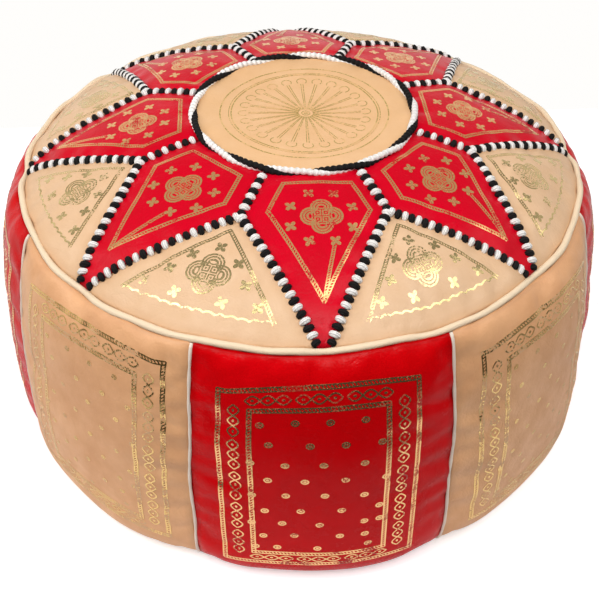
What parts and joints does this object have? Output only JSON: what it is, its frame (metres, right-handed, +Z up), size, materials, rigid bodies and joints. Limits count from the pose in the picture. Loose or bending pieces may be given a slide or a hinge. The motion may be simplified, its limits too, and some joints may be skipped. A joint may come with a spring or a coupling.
{
  "type": "leather pouf",
  "caption": "Round stuffed leather pouf: patchwork top with a star of kites and a central disc, panelled bulging sides, corded seams, and a zipped flat base.",
  "frame": {"origin": "middle of the footprint, on the floor", "axes": "+Z up; star point 1 and a red side panel face -Y, the front; the zip runs along X under the base"},
  "size_m": [0.532, 0.532, 0.2913],
  "materials": {
    "leather_red": "satin",
    "leather_natural": "satin",
    "leather_base": "matte",
    "piping_cream": "satin",
    "yarn_cord": "matte",
    "lining_cotton": "matte",
    "wadding": "matte",
    "zip_tape": "matte",
    "zip_brass": "satin"
  },
  "bodies": {
    "pouf": {"top_medallion": "leather_natural", "star_point_1": "leather_red", "star_point_2": "leather_red", "star_point_3": "leather_red", "star_point_4": "leather_red", "star_point_5": "leather_red", "star_point_6": "leather_red", "star_point_7": "leather_red", "star_point_8": "leather_red", "star_gusset_1": "leather_natural", "star_gusset_2": "leather_natural", "star_gusset_3": "leather_natural", "star_gusset_4": "leather_natural", "star_gusset_5": "leather_natural", "star_gusset_6": "leather_natural", "star_gusset_7": "leather_natural", "star_gusset_8": "leather_natural", "side_panel_1": "leather_red", "side_panel_2": "leather_natural", "side_panel_3": "leather_red", "side_panel_4": "leather_natural", "side_panel_5": "leather_red", "side_panel_6": "leather_natural", "side_panel_7": "leather_red", "side_panel_8": "leather_natural", "side_welt_1": "piping_cream", "side_welt_2": "piping_cream", "side_welt_3": "piping_cream", "side_welt_4": "piping_cream", "side_welt_5": "piping_cream", "side_welt_6": "piping_cream", "side_welt_7": "piping_cream", "side_welt_8": "piping_cream", "rim_piping": "piping_cream", "medallion_cord": "yarn_cord", "star_cord_1": "yarn_cord", "star_cord_2": "yarn_cord", "star_cord_3": "yarn_cord", "star_cord_4": "yarn_cord", "star_cord_5": "yarn_cord", "star_cord_6": "yarn_cord", "star_cord_7": "yarn_cord", "star_cord_8": "yarn_cord", "base_half_back": "leather_base", "base_half_front": "leather_base", "zip_tape_back": "zip_tape", "zip_tape_front": "zip_tape", "zip_teeth_back": "zip_brass", "zip_teeth_front": "zip_brass", "zip_top_stop_back": "zip_brass", "zip_top_stop_front": "zip_brass", "zip_bottom_stop": "zip_brass", "lining": "lining_cotton", "stuffing": "wadding"},
    "slider": {"zip_slider": "zip_brass"},
    "pull": {"zip_pull": "zip_brass"}
  },
  "joints": [
    {"name": "zip_slide", "type": "slide", "parent": "pouf", "child": "slider", "axis": [1, 0, 0], "range_m": [-0.285, 0]},
    {"name": "pull_hinge", "type": "hinge", "parent": "slider", "child": "pull", "pos_m": [0.1445, 0, 0.0077], "axis": [0, -1, 0], "range_deg": [-14, 140]}
  ]
}
